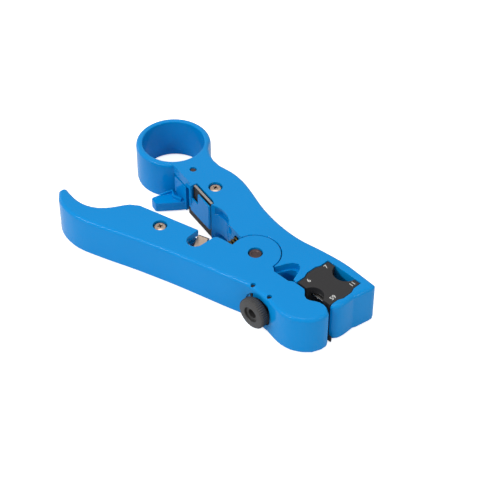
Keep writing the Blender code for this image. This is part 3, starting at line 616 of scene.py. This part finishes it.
# The lock lever: a small moulding in the same blue nylon, with a tall hub in the arm's slot, a
# thumb tab with a raised rim, and a steel pin through its hub.
LEVER_EDGE = 0.20 * MM
LEVER_TOP = 10.0 * MM
RIM_TOP = 5.0 * MM
RIM_RISE = 0.7 * MM
RIM_END_X = -35.5 * MM
RIM_END_DROP = 1.2 * MM
LEVER_PIN_TOP = 15.3 * MM
LEVER_PIN_RISE = 0.5 * MM
DARK = (0.080, 0.052, 0.050)
DARK_DULL = (0.040, 0.029, 0.030)
PIN_EDGE = 0.08 * MM


def reshape_lever(piece):
    """The hub fills its taller slot, and the rim of the tab climbs from the tip to the ring's side."""
    lift(piece, LEVER_TOP, LEVER_RISE)
    lift(piece, RIM_TOP, RIM_RISE)
    shift(piece, lambda place: place.x < RIM_END_X and place.z > RIM_TOP, (0.0, 0.0, -RIM_END_DROP))


def reshape_lever_pin(piece):
    """The pin's head comes up nearly flush with the arm."""
    lift(piece, LEVER_PIN_TOP, LEVER_PIN_RISE)


finished_copy("lock_lever", "lever", blue_nylon, edge=LEVER_EDGE, reshape=reshape_lever)
blackened = ground_steel(
    "blackened_steel", DARK, DARK_DULL, roughness=0.48, fineness=3000.0, metallic=0.75
)
finished_copy("lever_pin", "body", blackened, edge=PIN_EDGE, reshape=reshape_lever_pin)


# The pivot: a headed steel pin, blackened, through both ears of the grip and the body's
# tongue, with a spring-steel clip in its groove at the lower end.
PIN_HEAD_FACE = 14.4 * MM
PIN_HEAD_RISE = 0.95 * MM
CLIP_EDGE = 0.06 * MM
STEEL = (0.62, 0.60, 0.57)
STEEL_DULL = (0.36, 0.33, 0.31)


def reshape_pivot_pin(piece):
    """The head's dished face comes up nearly flush with the ear."""
    shift(piece, lambda place: place.z > PIN_HEAD_FACE, (0.0, 0.0, PIN_HEAD_RISE))


finished_copy("pivot_pin", "body", blackened, edge=PIN_EDGE, reshape=reshape_pivot_pin)
clip_steel = ground_steel("clip_steel", STEEL, STEEL_DULL, roughness=0.30)
finished_copy("pivot_clip", "body", clip_steel, edge=CLIP_EDGE)


# The return spring: yellow-passivated wire wound in nine even turns. It sits in a well in the
# arm and one in the grip; the real spring shortens as the grip closes, but this wound copy keeps one
# length.
WIRE_R = 0.38 * MM
SPRING_TURNS = 9
WIRE_STEPS = 28
WIRE_SMOOTH_ANGLE = math.radians(50)
# These wire colours are darkened nearly to black over the yellow passivation: painted shade of the wells
# the spring sits in.
PASSIVATED_IN_SHADE = (0.13, 0.095, 0.030)
PASSIVATED_IN_SHADE_DULL = (0.006, 0.005, 0.004)
spring_low, spring_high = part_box("return_spring")
spring_centre = (spring_low + spring_high) / 2
spring_travel = spring_high.y - spring_low.y - 2 * WIRE_R
coil_r = (spring_high.x - spring_low.x) / 2 - WIRE_R
bpy.ops.curve.primitive_bezier_circle_add(radius=WIRE_R)
wire_section = bpy.context.active_object
helix = bpy.data.curves.new("helix", "CURVE")
helix.dimensions = "3D"
line = helix.splines.new("POLY")
line.points.add(SPRING_TURNS * WIRE_STEPS)
for index, point in enumerate(line.points):
    share = index / (SPRING_TURNS * WIRE_STEPS)
    turn = 2 * math.pi * SPRING_TURNS * share
    point.co = (
        spring_centre.x + coil_r * math.cos(turn),
        spring_low.y + WIRE_R + spring_travel * share,
        spring_centre.z + coil_r * math.sin(turn),
        1.0,
    )
helix.bevel_mode = "OBJECT"
helix.bevel_object = wire_section
helix.use_fill_caps = True
spring = bpy.data.objects.new("return_spring_wound", helix)
bpy.context.scene.collection.objects.link(spring)
choose(spring)
bpy.ops.object.convert(target="MESH")
bpy.data.objects.remove(wire_section)
bpy.ops.object.shade_smooth_by_angle(angle=WIRE_SMOOTH_ANGLE)
passivated_wire_in_shade = ground_steel(
    "passivated_wire_in_shade", PASSIVATED_IN_SHADE, PASSIVATED_IN_SHADE_DULL, roughness=0.30, patches=1400.0
)
surface(spring, passivated_wire_in_shade)
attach(spring, "body")
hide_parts("return_spring")
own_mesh(spring)


# The grip: the second blue moulding, with the short jaw, the fork of two ears round the
# tongue, the thumb rest at its tail and the seats of the cutter and of the depth screw.
EAR_R = 8.9 * MM
RELIEF_TOP = 5.6 * MM
RELIEF_RISE = 0.6 * MM


def reshape_grip(piece):
    """The relief over the lever's rim is a little higher, and the ear's rim is soft."""
    lift(piece, RELIEF_TOP, RELIEF_RISE)
    ease_round_rim(piece, pivot, EAR_R, THICKNESS, EAR_EASE)


finished_copy("grip_arm", "grip", blue_nylon, reshape=reshape_grip)


# The side cutter: a flat ground blade under the grip's screw. Its edge stands a little proud of
# the notch that a cable is laid in.
CUTTER_BEVEL = 1.3 * MM
CUTTER_STEEL = (0.58, 0.455, 0.36)
CUTTER_DULL = (0.27, 0.205, 0.16)
CUTTER_INTO_GRIP = Vector((0.297, -0.955, 0.0))
CUTTER_HEEL = Vector((-6.05 * MM, -9.55 * MM, 0.0))
HEEL_SHIFT = Vector((6.3 * MM, -2.7 * MM, 0.0))
HEEL_LOWER_SHARE = 0.72
HEEL_SLACK = 0.1 * MM
EDGE_SLACK = 0.2 * MM
BEVEL_SLOPE_LOW = 0.3
BEVEL_SLOPE_HIGH = 0.95


def reshape_cutter(piece):
    """The edge's upper corners go back, which leaves the ground bevel, and the heel is cut slantwise."""
    edge_line = min(vertex.co.dot(CUTTER_INTO_GRIP) for vertex in piece.data.vertices)
    middle = sum(vertex.co.z for vertex in piece.data.vertices) / len(piece.data.vertices)

    def at_upper_edge(place):
        return place.dot(CUTTER_INTO_GRIP) < edge_line + EDGE_SLACK and place.z > middle

    def at_upper_heel(place):
        return (place - CUTTER_HEEL).xy.length < HEEL_SLACK and place.z > middle

    def at_lower_heel(place):
        return (place - CUTTER_HEEL).xy.length < HEEL_SLACK and place.z <= middle

    shift(piece, at_upper_edge, CUTTER_BEVEL * CUTTER_INTO_GRIP)
    shift(piece, at_upper_heel, HEEL_SHIFT)
    shift(piece, at_lower_heel, HEEL_LOWER_SHARE * HEEL_SHIFT)


cutter_steel = ground_steel(
    "cutter_steel", CUTTER_STEEL, CUTTER_DULL, roughness=0.40, turn=math.radians(15)
)
cutter = finished_copy("cutter_blade", "grip", cutter_steel, reshape=reshape_cutter)
cutter.data.materials.append(oxide_and_shade_steel)
# The sloped faces of the ground bevel get the near-black oxide: painted shade along the cutting edge.
for face in cutter.data.polygons:
    if BEVEL_SLOPE_LOW < face.normal.z < BEVEL_SLOPE_HIGH:
        face.material_index = 1


# The cassette: a charcoal moulding that drops into the head, with a round notch on each side
# and three blades across them. Plain size numbers are printed on its top face.
CHARCOAL = (0.026, 0.025, 0.026)
# The lighter charcoal is a painted highlight along the eased edges.
CHARCOAL_EDGE_HIGHLIGHT = (0.13, 0.12, 0.115)
CASSETTE_TOP = 15.3 * MM
CASSETTE_RISE = 0.7 * MM
CASSETTE_EDGE = 0.20 * MM
PRINT = (0.60, 0.60, 0.58)
PRINT_HEIGHT = 0.04 * MM
PRINT_SPREAD = 0.02 * MM
NUMBER_SIZE = 2.3 * MM
NUMBER_TURN = math.radians(90)
# Each number, and how far along x and y it stands from the cassette's centre.
NUMBERS = (
    ("7", -6.4 * MM, 5.5 * MM),
    ("11", 5.6 * MM, 5.8 * MM),
    ("6", -5.8 * MM, -3.6 * MM),
    ("59", 5.5 * MM, -3.6 * MM),
)
charcoal = moulded_plastic(
    "charcoal_moulding",
    CHARCOAL,
    CHARCOAL_EDGE_HIGHLIGHT,
    roughness=0.50,
    edge=CASSETTE_EDGE,
    pebble=4200.0,
    bump=0.6,
    specular=0.18,
)


def reshape_cassette(piece):
    """The cassette's top comes up nearly flush with the head."""
    lift(piece, CASSETTE_TOP, CASSETTE_RISE)


finished_copy(
    "coax_cassette", "cassette", charcoal, edge=CASSETTE_EDGE, reshape=reshape_cassette
)
strip_steel = ground_steel("strip_blade_steel", STEEL, STEEL_DULL, roughness=0.24)
for level in ("outer", "middle", "inner"):
    finished_copy(f"cassette_{level}_blade", "cassette", strip_steel)

number_print = moulded_plastic(
    "number_print", PRINT, PRINT, roughness=0.6, edge=0.02 * MM, pebble=5200.0, bump=0.2, specular=0.3
)
cassette_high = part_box("coax_cassette")[1]
blade_low, blade_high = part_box("cassette_middle_blade")
print_centre = (blade_low + blade_high) / 2
print_level = cassette_high.z + CASSETTE_RISE
for text, east, north in NUMBERS:
    bpy.ops.object.text_add(location=(0.0, 0.0, 0.0))
    number = bpy.context.active_object
    number.name = f"size_number_{text}"
    number.data.body = text
    number.data.size = NUMBER_SIZE
    number.data.align_x = "CENTER"
    number.data.align_y = "CENTER"
    number.data.offset = PRINT_SPREAD
    number.data.extrude = PRINT_HEIGHT / 2
    bpy.ops.object.convert(target="MESH")
    number.rotation_euler.z = NUMBER_TURN
    number.location = (print_centre.x + east, print_centre.y + north, print_level)
    settle(number)
    surface(number, number_print)
    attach(number, "cassette")


# The depth knob: a turned, straight-knurled knob with a dished face, on the screw that moves the
# blade for round cable. Two pins beside its neck keep it in the jaw.
KNOB_GREY = (0.047, 0.046, 0.046)
# The lighter grey is a painted highlight along the eased edges.
KNOB_EDGE_HIGHLIGHT = (0.12, 0.11, 0.105)
KNOB_TEETH = 44
KNURL_DEPTH = 0.27 * MM
KNURL_SLACK = 0.2 * MM
KNOB_HEIGHT = 3.3 * MM
KNOB_SMOOTH_ANGLE = math.radians(30)
# The rounded rims: how far in from the knob's radius, and how far from its front or its back.
FRONT_RIM = ((1.05 * MM, 0.0), (0.50 * MM, 0.10 * MM), (0.12 * MM, 0.40 * MM), (0.0, 0.75 * MM))
BACK_RIM = ((0.0, 0.60 * MM), (0.40 * MM, 0.0))
NECK_R = 3.0 * MM
NECK_LENGTH = 2.8 * MM
HUB_R = 4.0 * MM
SOCKET_R = 2.9 * MM
SOCKET_FLARE = 0.35 * MM
SOCKET_LIP = 0.2 * MM
SOCKET_DEPTH = 0.9 * MM
SOCKET_BORE_R = 1.75 * MM
SOCKET_BORE_DEPTH = 2.6 * MM
SCREW_BORE_R = 1.65 * MM
SCREW_BORE_OVERRUN = 1.0 * MM
CUT_OVERLAP = 0.3 * MM
knob_low, knob_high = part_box("depth_knob")
knob_r = (knob_high.x - knob_low.x) / 2
knob_front = knob_low.y
knob_back = knob_front + KNOB_HEIGHT
knob_profile = [(knob_r - inset, knob_front + depth) for inset, depth in FRONT_RIM]
knob_profile += [(knob_r - inset, knob_back - depth) for inset, depth in BACK_RIM]
knob_profile += [
    (NECK_R, knob_back),
    (NECK_R, knob_back + NECK_LENGTH),
    (HUB_R, knob_back + NECK_LENGTH),
    (HUB_R, knob_high.y),
]
knob = turned_piece("depth_knob_turned", knob_profile, (0.0, 0.0, 0.0), sides=2 * KNOB_TEETH)


def in_knurl_groove(place):
    """Every other row of corners along the rim is pressed in, which leaves the ridges."""
    column = round(math.atan2(place.y, place.x) / math.pi * KNOB_TEETH)
    return column % 2 == 1 and place.xy.length > knob_r - KNURL_SLACK


pick_vertices(knob, in_knurl_groove)
groove_share = 1 - KNURL_DEPTH / knob_r
bpy.ops.transform.resize(value=(groove_share, groove_share, 1.0), center_override=(0.0, 0.0, 0.0))
leave_edit()
socket_floor = knob_front + SOCKET_DEPTH
socket_cuts = (
    [
        (SOCKET_R + SOCKET_FLARE, knob_front - SOCKET_LIP),
        (SOCKET_R, knob_front + SOCKET_LIP),
        (SOCKET_R, socket_floor),
    ],
    [(SOCKET_BORE_R, socket_floor - CUT_OVERLAP), (SOCKET_BORE_R, socket_floor + SOCKET_BORE_DEPTH)],
    [(SCREW_BORE_R, socket_floor + SCREW_BORE_OVERRUN), (SCREW_BORE_R, knob_high.y + SCREW_BORE_OVERRUN)],
)
for profile in socket_cuts:
    carve(knob, turned_piece("socket_tool", profile, (0.0, 0.0, 0.0)))
knob.rotation_euler.x = -math.pi / 2
knob.location = ((knob_low.x + knob_high.x) / 2, 0.0, (knob_low.z + knob_high.z) / 2)
settle(knob)
bpy.ops.object.shade_smooth_by_angle(angle=KNOB_SMOOTH_ANGLE)
knob_moulding = moulded_plastic(
    "knob_moulding",
    KNOB_GREY,
    KNOB_EDGE_HIGHLIGHT,
    roughness=0.40,
    edge=0.10 * MM,
    pebble=3600.0,
    bump=0.5,
    specular=0.30,
)
surface(knob, knob_moulding)
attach(knob, "knob")
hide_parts("depth_knob")
screw_steel = ground_steel("depth_screw_steel", OXIDE_AND_SHADE, OXIDE_AND_SHADE_DULL, roughness=0.34)
finished_copy("depth_screw", "knob", screw_steel)
for side in ("left", "right"):
    finished_copy(f"knob_pin_{side}", "grip", oxide_and_shade_steel, edge=CLIP_EDGE)


# The blade for round cable: a charcoal block that slides in the jaw as the knob turns, with a
# small pointed blade clamped in its front.
CARRIER_EDGE = 0.12 * MM
finished_copy("blade_carrier", "carrier", charcoal, edge=CARRIER_EDGE)
finished_copy("eye_blade", "carrier", strip_steel)


# The table and the light: a plain white sheet of paper, a large soft box overhead, a long strip
# on the grip's side, and two small boxes beyond the tail and beyond the head, in a pale room.
FLOOR_SIZE = 3.0
FLOOR_DROP = 0.0002
FLOOR_COLOUR = (0.86, 0.86, 0.86)
FLOOR_LIFT = 0.72
FLOOR_SHEEN = 0.06
PAPER_ROUGHNESS = 0.9
PAPER_SPECULAR = 0.1
ROOM_LIGHT = 0.50
# Each lamp's name, its place, where it aims, its width and height, and its power in watts.
LAMPS = (
    ("overhead_box", (-0.05, 0.0, 0.80), (0.0, 0.0, 0.0), (0.55, 0.55), 1.8),
    ("front_strip", (-0.17, -0.70, 0.57), (0.0, 0.0, 0.01), (0.62, 0.035), 3.9),
    ("side_box", (-0.86, -0.16, 0.30), (0.0, 0.0, 0.01), (0.30, 0.20), 0.5),
    ("end_strip", (0.70, 0.16, 0.46), (0.02, 0.0, 0.01), (0.20, 0.10), 0.9),
)
bpy.ops.mesh.primitive_plane_add(size=FLOOR_SIZE, location=(0.0, 0.0, -FLOOR_DROP))
table_top = bpy.context.active_object
table_top.name = "table_top"
paper = bpy.data.materials.new("white_paper")
paper.use_nodes = True
tree = paper.node_tree
paper_shader = tree.nodes["Principled BSDF"]
paper_shader.inputs["Base Color"].default_value = (*FLOOR_COLOUR, 1.0)
paper_shader.inputs["Roughness"].default_value = PAPER_ROUGHNESS
paper_shader.inputs["Specular IOR Level"].default_value = PAPER_SPECULAR
seen = tree.nodes.new("ShaderNodeLightPath")
mirrored = calculate(tree, "ADD", seen.outputs["Is Glossy Ray"], seen.outputs["Is Transmission Ray"])
mirrored = calculate(tree, "MULTIPLY", mirrored, FLOOR_SHEEN)
shown = calculate(tree, "MULTIPLY_ADD", seen.outputs["Is Camera Ray"], FLOOR_LIFT, mirrored)
paper_shader.inputs["Emission Color"].default_value = (1.0, 1.0, 1.0, 1.0)
tree.links.new(shown, paper_shader.inputs["Emission Strength"])
table_top.data.materials.append(paper)

world = bpy.data.worlds.new("pale_room")
bpy.context.scene.world = world
world.use_nodes = True
tree = world.node_tree
background = tree.nodes["Background"]
background.inputs["Color"].default_value = (1.0, 1.0, 1.0, 1.0)
seen = tree.nodes.new("ShaderNodeLightPath")
shown = calculate(tree, "ADD", seen.outputs["Is Camera Ray"], seen.outputs["Is Glossy Ray"])
shown = calculate(tree, "ADD", shown, seen.outputs["Is Transmission Ray"])
strength = calculate(tree, "MAXIMUM", shown, ROOM_LIGHT)
tree.links.new(strength, background.inputs["Strength"])

for name, place, aim, lamp_size, power in LAMPS:
    lamp = bpy.data.lights.new(name, "AREA")
    lamp.shape = "RECTANGLE"
    lamp.size, lamp.size_y = lamp_size
    lamp.energy = power
    soft_box = bpy.data.objects.new(name, lamp)
    bpy.context.scene.collection.objects.link(soft_box)
    soft_box.location = place
    soft_box.rotation_euler = (Vector(aim) - Vector(place)).to_track_quat("-Z", "Y").to_euler()


# The photograph's view: from the head's end and the grip's side, 43 degrees above the table,
# with a lens long enough that the tool is drawn almost without perspective.
VIEW_ELEVATION = math.radians(43.05)
VIEW_AZIMUTH = math.radians(46.0)
VIEW_DISTANCE = 0.550
VIEW_LENS = 116.04
VIEW_SENSOR = 36.0
VIEW_CLIP_START = 0.01
VIEW_TARGET_FROM_PIVOT = Vector((-14.504 * MM, 6.625 * MM, 0.0))
body_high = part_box("main_body")[1]
target = Vector((pivot.x, pivot.y, body_high.z / 2)) + VIEW_TARGET_FROM_PIVOT
ahead = Vector(
    (
        -math.sin(VIEW_AZIMUTH) * math.cos(VIEW_ELEVATION),
        math.cos(VIEW_AZIMUTH) * math.cos(VIEW_ELEVATION),
        -math.sin(VIEW_ELEVATION),
    )
)
camera = bpy.data.objects.new("camera", bpy.data.cameras.new("camera"))
bpy.context.scene.collection.objects.link(camera)
camera.data.lens = VIEW_LENS
camera.data.sensor_width = VIEW_SENSOR
camera.data.clip_start = VIEW_CLIP_START
camera.location = target - ahead * VIEW_DISTANCE
camera.rotation_euler = ahead.to_track_quat("-Z", "Y").to_euler()
bpy.context.scene.camera = camera
bpy.context.scene.view_settings.view_transform = "Standard"
